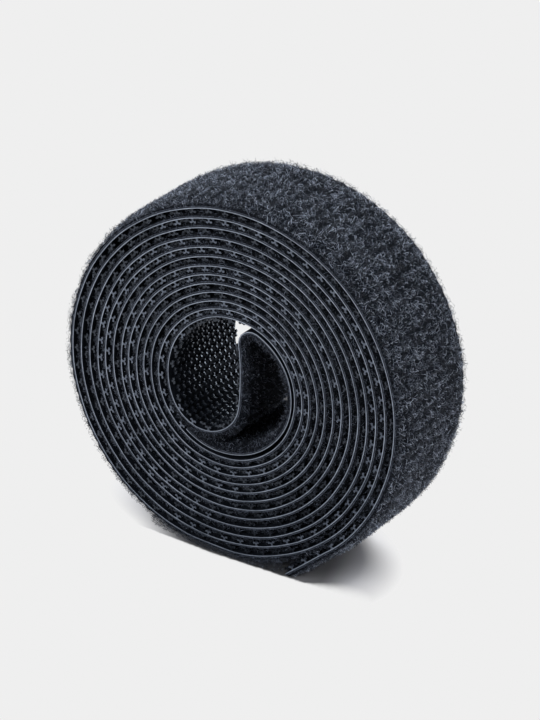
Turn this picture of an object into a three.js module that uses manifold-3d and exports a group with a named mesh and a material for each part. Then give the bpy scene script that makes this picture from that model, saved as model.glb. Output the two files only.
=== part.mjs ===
// Roll of back-to-back hook and loop tape, standing on its rim.
// One laminated strip is wound loop side out from a free tail, and its inner end folds back on itself.
// Millimetres, +Z up. The roll's axis is parallel to Y, above the origin, and the floor is z = 0.
import * as THREE from 'three';
import * as BufferGeometryUtils from 'three/addons/utils/BufferGeometryUtils.js';
import Module from 'manifold-3d';

const { degToRad, lerp } = THREE.MathUtils;

// The tape's section, from the hook side to the loop side
const TAPE_WIDTH = 20;
const FILM_THICKNESS = 0.25;
const BOND_THICKNESS = 0.06;
const LOOP_THICKNESS = 0.36;

// The winding: the film's radius at its inner end, the pitch of its turns and how oval they lie
const CORE_RADIUS = 11.86;
const INNER_PITCH = 1.33;
const OUTER_PITCH = 1.64;
const WHOLE_TURNS = 12;
const WINDING_ENDS = degToRad(168.3);
const STEPS_PER_TURN = 24;
const OVAL = 0.336;
const OVAL_LEAN = degToRad(132);

// The inner end pushes the last turn aside: how far, which way, and over how many turns this dies out
const CORE_PUSH = 0.26;
const PUSHED_TOWARDS = degToRad(128);
const PUSH_TURNS = 0.5;

// The free tail leaves the roll at this angle from straight down and runs straight to the floor
const TAIL_LEAVES = degToRad(43.5);
const TAIL_PRESSED = 0.2;

// The round pile is pressed flat this deep where the roll stands
const FLOOR_FLAT = 0.36;

// The inner end: a loop of two arcs, a bowed wall across the core, a tight bend and a reversed stretch
const LOOP_LET_OUT = 0.12;
const LOOP_HEADING = degToRad(296.5);
const FOOT_RADIUS = 6.36;
const WALL_HEADING = degToRad(360 + 86.5);
const WALL_RADIUS = 40;
const BEND_RADIUS = 2.45;
const BEND_STEPS = 6;
const PAIR_PITCH = 0.74;
const FREE_END_BEFORE = degToRad(35);

// The moulded hooks: two humped prongs each, in columns across the tape, staggered by half a pitch
const COLUMN_PITCH = 1.49;
const ROW_PITCH = 2.88;
const HOOK_HEIGHT = 0.82;
const HOOK_BREADTH = 0.34;
const STEM_FOOT = 0.42;
const STEM_NECK = 0.26;
const NECK_HEIGHT = 0.44;
const PRONG_REACH = 0.5;
const PRONG_DROOP = 0.3;
const HUMP_SPACING = 0.56;
const SADDLE_HEIGHT = 0.62;
const HOOK_ROOT = 0.1;
const EDGE_MARGIN = 0.4;

// What follows from these: angles counted inwards from straight down, and offsets from the film's middle
const FULL_TURN = 2 * Math.PI;
const QUARTER_TURN = Math.PI / 2;
const LAST_TURN = Math.round(WHOLE_TURNS) * FULL_TURN;
const WINDING_END = LAST_TURN + WINDING_ENDS;
const FREE_END = LAST_TURN - FREE_END_BEFORE;
const HOOK_FACE = FILM_THICKNESS / 2;
const FILM_BACK = -FILM_THICKNESS / 2;
const BOND_BACK = FILM_BACK - BOND_THICKNESS;
const LOOP_FACE = BOND_BACK - LOOP_THICKNESS;

// A station of the film's middle line: its place in the roll's plane and the way it heads there
function station(x, z, heading) {
  return { x, z, heading };
}

// A point beside a station, positive towards the hook side, which is on the left of the way it heads
function beside(place, offset) {
  const x = place.x - offset * Math.sin(place.heading);
  const z = place.z + offset * Math.cos(place.heading);
  return new THREE.Vector2(x, z);
}

// The winding's station at an angle: the pitch grows evenly from the core outwards
function woundAt(angle) {
  const outwards = (WINDING_END - angle) / FULL_TURN;
  const slackening = (OUTER_PITCH - INNER_PITCH) * FULL_TURN / WINDING_END;
  const lean = 2 * (angle - OVAL_LEAN);
  const side = angle - PUSHED_TOWARDS;
  const push = CORE_PUSH * Math.exp(-outwards / PUSH_TURNS);
  const pushGrowth = push * (Math.cos(side) / (PUSH_TURNS * FULL_TURN) - Math.sin(side));
  const wound = INNER_PITCH * outwards + slackening * outwards * outwards / 2;
  const radius = CORE_RADIUS + wound + OVAL * Math.cos(lean) + push * Math.cos(side);
  const woundGrowth = -(INNER_PITCH + slackening * outwards) / FULL_TURN;
  const slope = woundGrowth - 2 * OVAL * Math.sin(lean) + pushGrowth;
  const heading = angle + Math.atan2(-slope, radius);
  return station(radius * Math.sin(angle), -radius * Math.cos(angle), heading);
}

// Angles between two limits on the winding's own grid, with a facet straight down
function gridAngles(from, to) {
  const step = FULL_TURN / STEPS_PER_TURN;
  const angles = [];
  for (let angle = (Math.floor(from / step + 0.5) + 0.5) * step; angle < to; angle += step) {
    angles.push(angle);
  }
  return angles;
}

// Stations along an arc to a new heading, positive radius to the left, without the arc's first point
function arcStations(start, radius, heading, steps) {
  const centre = beside(start, radius);
  const stations = [];
  for (let index = 1; index <= steps; index += 1) {
    const turned = lerp(start.heading, heading, index / steps);
    const x = centre.x + radius * Math.sin(turned);
    const z = centre.y - radius * Math.cos(turned);
    stations.push(station(x, z, turned));
  }
  return stations;
}

// Stations along a straight run, without its first point
function straightStations(start, length, steps) {
  const stations = [];
  for (let index = 1; index <= steps; index += 1) {
    const run = length * index / steps;
    const x = start.x + run * Math.cos(start.heading);
    const z = start.z + run * Math.sin(start.heading);
    stations.push(station(x, z, start.heading));
  }
  return stations;
}

// The angle where a value that falls crosses zero, by halving
function crossing(value, from, to) {
  const halvings = 60;
  let low = from;
  let high = to;
  for (let round = 0; round < halvings; round += 1) {
    const middle = (low + high) / 2;
    if (value(middle) > 0) low = middle;
    else high = middle;
  }
  return low;
}

function columnsIn(length) {
  return Math.round(length / COLUMN_PITCH);
}

// The floor, measured down from the roll's axis
const floorDrop = -woundAt(FULL_TURN).z - LOOP_FACE - FLOOR_FLAT;

// The tail, from its tip on the floor to the place where it meets the roll
const tailRoot = woundAt(TAIL_LEAVES);
const tipHeight = -LOOP_FACE * Math.cos(tailRoot.heading) - TAIL_PRESSED;
const tailLength = (tailRoot.z + floorDrop - tipHeight) / Math.sin(tailRoot.heading);
const tailTip = straightStations(tailRoot, -tailLength, 1);

// The winding, then the two arcs of the inner loop, stepped by the columns of hooks
const winding = gridAngles(TAIL_LEAVES, WINDING_END).map(woundAt);
const windingEnd = woundAt(WINDING_END);
const loopStart = station(windingEnd.x, windingEnd.z, windingEnd.heading - LAST_TURN);
const loopRadius = CORE_RADIUS + LOOP_LET_OUT;
const loopColumns = columnsIn(loopRadius * (LOOP_HEADING - loopStart.heading));
const loopArc = arcStations(loopStart, loopRadius, LOOP_HEADING, loopColumns);
const footColumns = columnsIn(FOOT_RADIUS * (WALL_HEADING - LOOP_HEADING));
const footArc = arcStations(loopArc.at(-1), FOOT_RADIUS, WALL_HEADING, footColumns);
const wallFoot = footArc.at(-1);

// The reversed stretch lies inside the last turn, hook side to hook side
function reversedAt(angle) {
  const outer = woundAt(angle);
  const place = beside(outer, PAIR_PITCH);
  return station(place.x, place.y, outer.heading - LAST_TURN + Math.PI);
}

// The middle of a tight bend that runs into the reversed stretch at an angle, seen from the wall's own centre
const wallCentre = beside(wallFoot, WALL_RADIUS);
function bendFromWallCentre(angle) {
  return beside(reversedAt(angle), -BEND_RADIUS).sub(wallCentre);
}

// How far a bend that ends at an angle misses the wall's line
function missesWall(angle) {
  return bendFromWallCentre(angle).length() - WALL_RADIUS - BEND_RADIUS;
}

// The wall across the core, the bend at its top and the reversed stretch to the free end
const bendAngle = crossing(missesWall, LAST_TURN + QUARTER_TURN, LAST_TURN + 2 * QUARTER_TURN);
const wallTopHeading = bendFromWallCentre(bendAngle).angle() + QUARTER_TURN + FULL_TURN;
const wallColumns = columnsIn(WALL_RADIUS * (wallTopHeading - WALL_HEADING));
const wall = arcStations(wallFoot, WALL_RADIUS, wallTopHeading, wallColumns);
const bend = arcStations(wall.at(-1), -BEND_RADIUS, reversedAt(bendAngle).heading, BEND_STEPS);
const reversed = gridAngles(FREE_END, bendAngle).reverse().map(reversedAt);

const hookLined = [loopStart, ...loopArc, ...footArc, ...wall];
const tape = [...tailTip, tailRoot, ...winding, ...hookLined, ...bend, ...reversed, reversedAt(FREE_END)];

// A solid between two offsets from the tape's line, over the tape's width
function layer(outerOffset, innerOffset) {
  const outer = tape.map((place) => beside(place, outerOffset));
  const inner = tape.map((place) => beside(place, innerOffset));
  const section = new THREE.Shape([...outer, ...inner.reverse()]);
  const geometry = new THREE.ExtrudeGeometry(section, { depth: TAPE_WIDTH, bevelEnabled: false });
  geometry.rotateX(QUARTER_TURN);
  geometry.translate(0, TAPE_WIDTH / 2, floorDrop);
  return geometry;
}

// One hook seen across the tape: a stem that spreads into two humped, drooping prongs
function hookOutline() {
  const right = [
    [STEM_FOOT / 2, -HOOK_ROOT],
    [STEM_NECK / 2, NECK_HEIGHT],
    [PRONG_REACH, HOOK_HEIGHT - PRONG_DROOP],
    [HUMP_SPACING / 2, HOOK_HEIGHT],
  ];
  const left = right.map(([along, height]) => [-along, height]);
  const outline = [...right, [0, SADDLE_HEIGHT], ...left.reverse()];
  return new THREE.Shape(outline.map(([along, height]) => new THREE.Vector2(along, height)));
}

const hookShape = new THREE.ExtrudeGeometry(hookOutline(), { depth: HOOK_BREADTH, bevelEnabled: false });
hookShape.translate(0, 0, -HOOK_BREADTH / 2);
hookShape.rotateX(QUARTER_TURN);

// A hook in the middle of one facet of the film, at its place across the tape
function hookOn(start, end, across) {
  const foot = beside(start, HOOK_FACE).lerp(beside(end, HOOK_FACE), 0.5);
  const hook = hookShape.clone();
  hook.rotateY(-Math.atan2(end.z - start.z, end.x - start.x));
  hook.translate(foot.x, across, foot.y + floorDrop);
  return hook;
}

// Every hook on the face that lines the core
function coreHooks() {
  const reach = TAPE_WIDTH / 2 - EDGE_MARGIN;
  const hooks = [];
  for (let column = 1; column < hookLined.length; column += 1) {
    const shift = (column % 2) * ROW_PITCH / 2;
    for (let across = shift - reach; across <= reach; across += ROW_PITCH) {
      hooks.push(hookOn(hookLined[column - 1], hookLined[column], across));
    }
  }
  return hooks;
}

// Joining and cutting
const wasm = await Module();
wasm.setup();

function solidOf(geometry) {
  const bare = geometry.clone();
  bare.deleteAttribute('normal');
  bare.deleteAttribute('uv');
  const merged = BufferGeometryUtils.mergeVertices(bare);
  const vertProperties = new Float32Array(merged.attributes.position.array);
  const triVerts = new Uint32Array(merged.index.array);
  return new wasm.Manifold(new wasm.Mesh({ numProp: 3, vertProperties, triVerts }));
}

function geometryOf(solid) {
  const mesh = solid.getMesh();
  const geometry = new THREE.BufferGeometry();
  geometry.setAttribute('position', new THREE.BufferAttribute(mesh.vertProperties, 3));
  geometry.setIndex(new THREE.BufferAttribute(mesh.triVerts, 1));
  geometry.computeVertexNormals();
  return geometry;
}

// The hook film: the strip with the hooks moulded on it
function hookFilm() {
  const film = solidOf(layer(FILM_BACK, HOOK_FACE));
  return geometryOf(coreHooks().reduce((whole, hook) => whole.add(solidOf(hook)), film));
}

// The loop fabric, with its pile pressed flat by the floor
function loopFabric() {
  const below = new THREE.BoxGeometry(4 * floorDrop, 2 * TAPE_WIDTH, floorDrop);
  below.translate(0, 0, -floorDrop / 2);
  return geometryOf(solidOf(layer(LOOP_FACE, BOND_BACK)).subtract(solidOf(below)));
}

// The tape's length at each station
function lengthsAlong() {
  const lengths = [0];
  for (let index = 1; index < tape.length; index += 1) {
    const run = beside(tape[index], 0).distanceTo(beside(tape[index - 1], 0));
    lengths.push(lengths[index - 1] + run);
  }
  return lengths;
}

// The least gap between one turn and another, from points of both faces to both faces
function leastGap(lengths) {
  const sameTurn = 2 * FULL_TURN * BEND_RADIUS;
  const inSpace = (place, offset) => new THREE.Vector3(...beside(place, offset), 0);
  const faces = [HOOK_FACE, LOOP_FACE].map((offset) => tape.map((place) => inSpace(place, offset)));
  const nearest = new THREE.Vector3();
  const facet = new THREE.Line3();
  let least = Infinity;
  for (const [points, others] of [faces, [faces[0], faces[0]], [faces[1], faces[1]], [faces[1], faces[0]]]) {
    points.forEach((point, index) => {
      for (let other = 1; other < tape.length; other += 1) {
        if (Math.abs(lengths[other] - lengths[index]) < sameTurn) continue;
        facet.set(others[other - 1], others[other]).closestPointToPoint(point, true, nearest);
        least = Math.min(least, nearest.distanceTo(point));
      }
    });
  }
  return least;
}

function piece(name, geometry, material) {
  const mesh = new THREE.Mesh(geometry, new THREE.MeshStandardMaterial(material));
  mesh.name = name;
  return mesh;
}

const lengths = lengthsAlong();
console.log(`tape length ${lengths.at(-1).toFixed(0)} mm, least gap ${leastGap(lengths).toFixed(3)} mm`);

const roll = new THREE.Group();
roll.add(piece('hook_film', hookFilm(), { color: 0x26292e, roughness: 0.45, metalness: 0 }));
roll.add(piece('bond_layer', layer(BOND_BACK, FILM_BACK), { color: 0x55595f, roughness: 0.6, metalness: 0 }));
roll.add(piece('loop_fabric', loopFabric(), { color: 0x15171b, roughness: 0.95, metalness: 0 }));

export default roll;
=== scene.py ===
"""A bare roll of black hook and loop tape, wound with its pile outwards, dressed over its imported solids."""

import math

import bpy
import numpy as np
from mathutils import Matrix, Vector, noise


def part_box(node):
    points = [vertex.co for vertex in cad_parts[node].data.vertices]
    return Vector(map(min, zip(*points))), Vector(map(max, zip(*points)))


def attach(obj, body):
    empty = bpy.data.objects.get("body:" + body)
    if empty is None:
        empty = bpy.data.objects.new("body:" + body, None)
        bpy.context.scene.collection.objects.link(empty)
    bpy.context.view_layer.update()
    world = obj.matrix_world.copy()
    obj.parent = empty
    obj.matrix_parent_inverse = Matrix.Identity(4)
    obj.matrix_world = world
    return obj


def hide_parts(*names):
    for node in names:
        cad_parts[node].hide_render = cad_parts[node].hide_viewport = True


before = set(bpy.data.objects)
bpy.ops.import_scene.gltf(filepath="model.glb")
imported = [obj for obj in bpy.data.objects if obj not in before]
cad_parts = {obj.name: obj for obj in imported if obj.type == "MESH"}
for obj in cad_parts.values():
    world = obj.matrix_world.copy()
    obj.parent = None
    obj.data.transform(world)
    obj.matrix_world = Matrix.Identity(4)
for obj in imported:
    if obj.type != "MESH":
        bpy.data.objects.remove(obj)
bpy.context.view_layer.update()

# Layers of the tape, in metres. Offsets from the middle of the film are positive on its hook side
FABRIC_LOW, FABRIC_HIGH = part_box("loop_fabric")
HALF_WIDTH = (FABRIC_HIGH.y - FABRIC_LOW.y) / 2
FILM_THICKNESS = 0.00025
BOND_THICKNESS = 0.00006
LOOP_THICKNESS = 0.00036
GROUND_THICKNESS = 0.0002
HOOK_FACE = FILM_THICKNESS / 2
FILM_BACK = -FILM_THICKNESS / 2
BOND_BACK = FILM_BACK - BOND_THICKNESS
GROUND_BACK = BOND_BACK - GROUND_THICKNESS
LOOP_FACE = BOND_BACK - LOOP_THICKNESS

# The winding, as in the solids: angles run from straight down, counter-clockwise seen from the front
TURN = 2 * math.pi
CORE_RADIUS = 0.01186
INNER_PITCH = 0.00133
OUTER_PITCH = 0.00164
LAST_TURN = 12 * TURN
WINDING_END = LAST_TURN + math.radians(168.3)
SLACK = (OUTER_PITCH - INNER_PITCH) * TURN / WINDING_END
OVAL = 0.000336
OVAL_LEAN = math.radians(132)
CORE_PUSH = 0.00026
PUSHED_TOWARDS = math.radians(128)
PUSH_TURNS = 0.5
FLOOR_FLAT = 0.00036
TAIL_LEAVES = math.radians(43.5)
TAIL_PRESSED = 0.0002

# The inner end: a loop round the core, a bowed wall across it, a bend, and the end drawn back along the last turn
LOOP_EASE = 0.00012
LOOP_RADIUS = CORE_RADIUS + LOOP_EASE
LOOP_HEADING = LAST_TURN + math.radians(296.5)
FOOT_RADIUS = 0.00636
WALL_HEADING = LAST_TURN + math.radians(360 + 86.5)
WALL_RADIUS = 0.04
BEND_RADIUS = 0.00245
PAIR_PITCH = 0.00074
FREE_END = LAST_TURN - math.radians(35)
BEND_SEARCH = (LAST_TURN + math.radians(90), LAST_TURN + math.radians(180))
BEND_SEARCH_ROUNDS = 60

# How finely the strip is drawn
TRACE_STEP = 0.0001
TRACED_TURNS = 1.62
STRIP_STEP = 0.00075
NAP_STEP = 0.00028

# How far a hand-wound strip strays from its line, as waves of some length, size and phase
STRAY_WAVES = ((0.0231, 0.000035, 0.4), (0.0093, 0.00002, 2.1), (0.061, 0.00003, 4.0))
SWAY_WAVES = ((0.212, 0.00006, 1.1), (0.037, 0.000025, 3.3))
FLOOR_LIFT = 0.00043
FLOOR_EASE = 0.0001
FLOOR_TOUCH = 0.00001

# How far the core's loop is drawn aside and down at the tape's back edge, and its share along the strip
BACK_SKEW = (-0.0006, -0.0008)
SKEW_STARTS_BEFORE, SKEW_FULL_AFTER = 0.02, 0.01
SKEW_SHARES = (0, 1, 1, 0.3, 0)


# The line of the strip


def beside(x, z, heading, offset):
    """Points at an offset to the hook side of a line."""
    return x - offset * np.sin(heading), z + offset * np.cos(heading)


def wound(angle):
    """Middle of the film at an angle round the roll's axis, and its heading there."""
    outwards = (WINDING_END - angle) / TURN
    lean = 2 * (angle - OVAL_LEAN)
    side = angle - PUSHED_TOWARDS
    push = CORE_PUSH * np.exp(-outwards / PUSH_TURNS)
    radius = CORE_RADIUS + INNER_PITCH * outwards + SLACK * outwards ** 2 / 2
    radius = radius + OVAL * np.cos(lean) + push * np.cos(side)
    slope = -(INNER_PITCH + SLACK * outwards) / TURN - 2 * OVAL * np.sin(lean)
    slope = slope + push * (np.cos(side) / (PUSH_TURNS * TURN) - np.sin(side))
    return radius * np.sin(angle), -radius * np.cos(angle), angle + np.arctan2(-slope, radius)


def folded_back(angle):
    """The inner end where it lies along the hook side of the last turn."""
    x, z, heading = wound(angle)
    return *beside(x, z, heading, PAIR_PITCH), heading + math.pi


def arc(start, radius, heading_end):
    """A bend from a station to a heading: to the hook side with a positive radius, else away from it."""
    x, z, heading = start
    centre_x, centre_z = beside(x, z, heading, radius)
    count = max(2, int(abs(radius * (heading_end - heading)) / TRACE_STEP))
    headings = np.linspace(heading, heading_end, count)
    xs, zs = beside(centre_x, centre_z, headings, -radius)
    return xs, zs, headings


def straight(start, length):
    """A straight stretch of some length from a station."""
    x, z, heading = start
    along = np.linspace(0, length, max(2, int(length / TRACE_STEP)))
    return x + along * np.cos(heading), z + along * np.sin(heading), np.full(len(along), heading)


def last_of(stretch):
    """The station that a stretch ends at."""
    return tuple(part[-1] for part in stretch)


AXIS_HEIGHT = -wound(TURN)[1] - LOOP_FACE - FLOOR_FLAT


def tape_stretches():
    """The strip from its tail to its inner end, as named stretches about the roll's axis, and where its bend ends."""
    root = wound(TAIL_LEAVES)
    tip_height = -LOOP_FACE * math.cos(root[2]) - TAIL_PRESSED
    tail_length = (root[1] + AXIS_HEIGHT - tip_height) / math.sin(root[2])
    tip = (root[0] - tail_length * math.cos(root[2]), root[1] - tail_length * math.sin(root[2]), root[2])
    tail = straight(tip, tail_length)
    turns = wound(np.linspace(TAIL_LEAVES, WINDING_END, int(TRACED_TURNS / TRACE_STEP)))
    loop = arc(last_of(turns), LOOP_RADIUS, LOOP_HEADING)
    foot = arc(last_of(loop), FOOT_RADIUS, WALL_HEADING)
    wall_foot = last_of(foot)
    wall_centre = np.array(beside(*wall_foot, WALL_RADIUS))

    def from_wall_centre(angle):
        """From the centre of the wall's bow to the centre of a bend that ends at an angle."""
        return np.array(beside(*folded_back(angle), -BEND_RADIUS)) - wall_centre

    low, high = BEND_SEARCH
    for _ in range(BEND_SEARCH_ROUNDS):
        middle = (low + high) / 2
        if np.hypot(*from_wall_centre(middle)) > WALL_RADIUS + BEND_RADIUS:
            low = middle
        else:
            high = middle
    bend_angle = (low + high) / 2
    aside, above = from_wall_centre(bend_angle)
    wall_top = math.atan2(aside, -above)
    wall_top += TURN * round((WALL_HEADING - wall_top) / TURN)
    wall = arc(wall_foot, WALL_RADIUS, wall_top)
    bend = arc(last_of(wall), -BEND_RADIUS, folded_back(bend_angle)[2])
    end_count = int((bend_angle - FREE_END) * CORE_RADIUS / TRACE_STEP)
    end = folded_back(np.linspace(bend_angle, FREE_END, end_count))
    stretches = dict(tail=tail, turns=turns, loop=loop, foot=foot, wall=wall, bend=bend, end=end)
    return stretches, bend_angle


def waved(lengths, waves):
    """Sum of some waves at lengths along the strip."""
    return sum(size * np.sin(TURN * lengths / wave + phase) for wave, size, phase in waves)


def stations(start, end, step):
    """Lengths along the strip, about a step apart."""
    return np.linspace(start, end, max(2, round((end - start) / step) + 1))


class TapeLine:
    """The strip's middle line in its place over the floor, read at any length from the tip of its tail."""

    def __init__(self):
        stretches, self.bend_angle = tape_stretches()
        x, z, heading = (np.concatenate([stretch[k] for stretch in stretches.values()]) for k in range(3))
        self.lengths = np.concatenate([[0], np.cumsum(np.hypot(np.diff(x), np.diff(z)))])
        self.total = float(self.lengths[-1])
        ends = np.cumsum([len(stretch[0]) for stretch in stretches.values()]) - 1
        self.ends = {name: float(self.lengths[end]) for name, end in zip(stretches, ends)}
        x, z = beside(x, z, heading, waved(self.lengths, STRAY_WAVES))
        self.x, self.heading = x, heading
        height = z + AXIS_HEIGHT
        self.z = FLOOR_LIFT + FLOOR_EASE * np.logaddexp(0, (height - FLOOR_LIFT) / FLOOR_EASE)
        self.z[: ends[0]] = height[: ends[0]]
        self.turned = np.linspace(TAIL_LEAVES, WINDING_END, ends[1] - ends[0])
        self.turned_lengths = self.lengths[ends[0] + 1 : ends[1] + 1]

    def at_angle(self, angle):
        """Length along the strip at an angle of the winding."""
        return float(np.interp(angle, self.turned, self.turned_lengths))

    def at(self, lengths):
        """Places and headings at some lengths along the strip, and how far its edges sway there."""
        read = (np.interp(lengths, self.lengths, values) for values in (self.x, self.z, self.heading))
        return *read, waved(lengths, SWAY_WAVES)

    def skew(self, lengths):
        """How far the strip's back edge is drawn aside and down at some lengths."""
        turns_end = self.ends["turns"]
        places = [turns_end - SKEW_STARTS_BEFORE, turns_end + SKEW_FULL_AFTER]
        places += [self.ends[name] for name in ("foot", "wall", "bend")]
        share = np.interp(lengths, places, SKEW_SHARES)
        return share * BACK_SKEW[0], share * BACK_SKEW[1]


TAPE = TapeLine()


# Meshes along the strip


def section_points(lengths, section):
    """Rings of points round the strip. A section is (across, offset) pairs, one row for each ring or one for all."""
    x, z, heading, sway = (part[:, None] for part in TAPE.at(lengths))
    across, offset = np.moveaxis(np.asarray(section, float), -1, 0)
    px, pz = beside(x, z, heading, offset)
    skew_x, skew_z = (part[:, None] for part in TAPE.skew(lengths))
    towards_back = (across + HALF_WIDTH) / (2 * HALF_WIDTH)
    px, pz = px + skew_x * towards_back, pz + skew_z * towards_back
    rings = np.stack(np.broadcast_arrays(px, across + sway, pz), axis=-1)
    rings[..., 2] = np.maximum(rings[..., 2], FLOOR_TOUCH)
    return rings


def section_column(across, offsets):
    """One corner of a section at a place across the tape, with an offset for each ring."""
    return np.stack([np.full(len(offsets), across), offsets], axis=-1)


def linked(name, data):
    """An object of the scene for a mesh, a lamp or a camera."""
    made = bpy.data.objects.new(name, data)
    bpy.context.scene.collection.objects.link(made)
    return made


def mark_points(mesh, name, values):
    """A number for each point of a mesh, under a name that node trees and materials read."""
    mesh.attributes.new(name, "FLOAT", "POINT").data.foreach_set("value", values)


def mesh_object(name, points, faces, materials=(), face_materials=None, smooth=True):
    """An object with a mesh of points and faces."""
    mesh = bpy.data.meshes.new(name)
    mesh.from_pydata([tuple(p) for p in points], [], faces)
    for material in materials:
        mesh.materials.append(material)
    if face_materials is not None:
        mesh.polygons.foreach_set("material_index", face_materials)
    if smooth:
        mesh.shade_smooth()
    mesh.update()
    return linked(name, mesh)


def loft(name, rings, materials, ring_materials=None):
    """A closed skin over rings of points, capped at both ends."""
    count, around = rings.shape[:2]
    step = np.arange(around)
    following = np.roll(step, -1)
    starts = np.arange(count - 1)[:, None] * around
    quads = [starts + step, starts + following, starts + around + following, starts + around + step]
    faces = [tuple(quad) for quad in np.stack(quads, axis=-1).reshape(-1, 4).tolist()]
    faces.append(tuple(reversed(range(around))))
    faces.append(tuple(range((count - 1) * around, count * around)))
    indices = None
    if ring_materials is not None:
        indices = list(ring_materials) * (count - 1) + [ring_materials[0]] * 2
    return mesh_object(name, rings.reshape(-1, 3), faces, materials, indices)


def patch(name, grid, cover):
    """An open skin over a grid of points, as the ground for a tree, with how well it is covered at each point."""
    rows, columns = grid.shape[:2]
    corner = (np.arange(rows - 1)[:, None] * columns + np.arange(columns - 1)).ravel()
    faces = np.stack([corner, corner + 1, corner + columns + 1, corner + columns], axis=-1)
    skin = mesh_object(name, grid.reshape(-1, 3), [tuple(face) for face in faces.tolist()])
    mark_points(skin.data, "cover", cover.ravel())
    return skin


# Node trees

NOISE_MIDDLE = 0.5


class Nodes:
    """Makes the nodes of one tree. Each method gives an output that can be the input of the next."""

    def __init__(self, tree):
        self.tree = tree

    def add(self, kind, inputs=None, **settings):
        """Outputs of a node with its settings, and with its inputs linked or set by name or number."""
        made = self.tree.nodes.new(kind)
        for name, value in settings.items():
            setattr(made, name, value)
        for key, value in (inputs or {}).items():
            if isinstance(value, bpy.types.NodeSocket):
                self.tree.links.new(value, made.inputs[key])
            else:
                made.inputs[key].default_value = value
        return made.outputs

    def calculate(self, operation, *values):
        return self.add("ShaderNodeMath", dict(enumerate(values)), operation=operation)[0]

    def plus(self, first, second):
        return self.calculate("ADD", first, second)

    def minus(self, first, second):
        return self.calculate("SUBTRACT", first, second)

    def times(self, first, second):
        return self.calculate("MULTIPLY", first, second)

    def over(self, first, second):
        return self.calculate("DIVIDE", first, second)

    def larger(self, first, second):
        return self.calculate("MAXIMUM", first, second)

    def blend(self, first, share, second):
        """A share of the first, with the second added."""
        return self.calculate("MULTIPLY_ADD", first, share, second)

    def mapped(self, value, start, end, low=0.0, high=1.0, **settings):
        """A value that goes from low to high between a start and an end."""
        return self.add("ShaderNodeMapRange", {0: value, 1: start, 2: end, 3: low, 4: high}, **settings)[0]

    def vector(self, **parts):
        return self.add("ShaderNodeCombineXYZ", parts)[0]

    def parts(self, vector):
        return self.add("ShaderNodeSeparateXYZ", {0: vector})

    def vectors(self, operation, first, second):
        return self.add("ShaderNodeVectorMath", {0: first, 1: second}, operation=operation)[0]

    def scaled(self, vector, factor):
        return self.add("ShaderNodeVectorMath", {0: vector, "Scale": factor}, operation="SCALE")[0]

    def random(self, low, high, seed):
        """A random vector for each point."""
        return self.add("FunctionNodeRandomValue", {0: low, 1: high, "Seed": seed}, data_type="FLOAT_VECTOR")[0]

    def attribute(self, name, data_type="FLOAT"):
        return self.add("GeometryNodeInputNamedAttribute", {"Name": name}, data_type=data_type)[0]

    def marked(self, geometry, name, value, data_type="FLOAT", domain="POINT"):
        """Geometry that keeps a value under a name."""
        inputs = {"Geometry": geometry, "Name": name, "Value": value}
        return self.add("GeometryNodeStoreNamedAttribute", inputs, data_type=data_type, domain=domain)[0]

    def moved(self, geometry, **place):
        """Geometry moved by an Offset or to a Position."""
        return self.add("GeometryNodeSetPosition", {"Geometry": geometry, **place})[0]

    def turned(self, rotation, angles):
        """A rotation that is turned further, about its own axes."""
        further = self.add("FunctionNodeEulerToRotation", {"Euler": angles})[0]
        inputs = {"Rotation": rotation, "Rotate By": further}
        return self.add("FunctionNodeRotateRotation", inputs, rotation_space="LOCAL")[0]

    def placed(self, points, instance, **look):
        """An instance on each point, with its Rotation and Scale."""
        return self.add("GeometryNodeInstanceOnPoints", {"Points": points, "Instance": instance, **look})[0]

    def realized(self, geometry):
        return self.add("GeometryNodeRealizeInstances", {"Geometry": geometry})[0]


def new_tree(name, inputs):
    """A Geometry Nodes tree with a geometry input, named inputs and a geometry output."""
    tree = bpy.data.node_groups.new(name, "GeometryNodeTree")
    for in_out in ("OUTPUT", "INPUT"):
        tree.interface.new_socket(name="Geometry", in_out=in_out, socket_type="NodeSocketGeometry")
    for label, kind in inputs.items():
        tree.interface.new_socket(name=label, in_out="INPUT", socket_type="NodeSocket" + kind)
    return Nodes(tree), tree.nodes.new("NodeGroupInput").outputs


def end_tree(nodes, geometry, material):
    """The tree, ended with plain geometry in a material."""
    dressed = nodes.add("GeometryNodeSetMaterial", {"Geometry": nodes.realized(geometry), "Material": material})[0]
    nodes.tree.links.new(dressed, nodes.tree.nodes.new("NodeGroupOutput").inputs[0])
    return nodes.tree


def grown(name, source, tree, material, **values):
    """A plain mesh of what a tree makes on a source object, which is then removed."""
    modifier = source.modifiers.new(tree.name, "NODES")
    modifier.node_group = tree
    sockets = {item.name: item.identifier for item in tree.interface.items_tree if item.in_out == "INPUT"}
    modifier[sockets["Material"]] = material
    for label, value in values.items():
        modifier[sockets[label.replace("_", " ")]] = value
    evaluated = source.evaluated_get(bpy.context.evaluated_depsgraph_get())
    mesh = bpy.data.meshes.new_from_object(evaluated)
    source.modifiers.remove(modifier)
    old = source.data
    bpy.data.objects.remove(source)
    bpy.data.meshes.remove(old)
    mesh.name = name
    mesh.materials.clear()
    mesh.materials.append(material)
    return linked(name, mesh)


# Materials

COOL_SHINE = (0.8, 0.9, 1.0, 1.0)
GLOSS_BETWEEN = (0.3, 0.7)
STREAK_SHARE, STAIN_SHARE = 0.5, 0.5
# The hooks' tips are made paler as a painted highlight
CLOUD_SHARE, CUT_PALED, PAINTED_TIP_HIGHLIGHT = 0.45, 0.75, 0.2
FIBRE_SHARE, PATCH_SHARE = 0.88, 0.12


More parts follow.
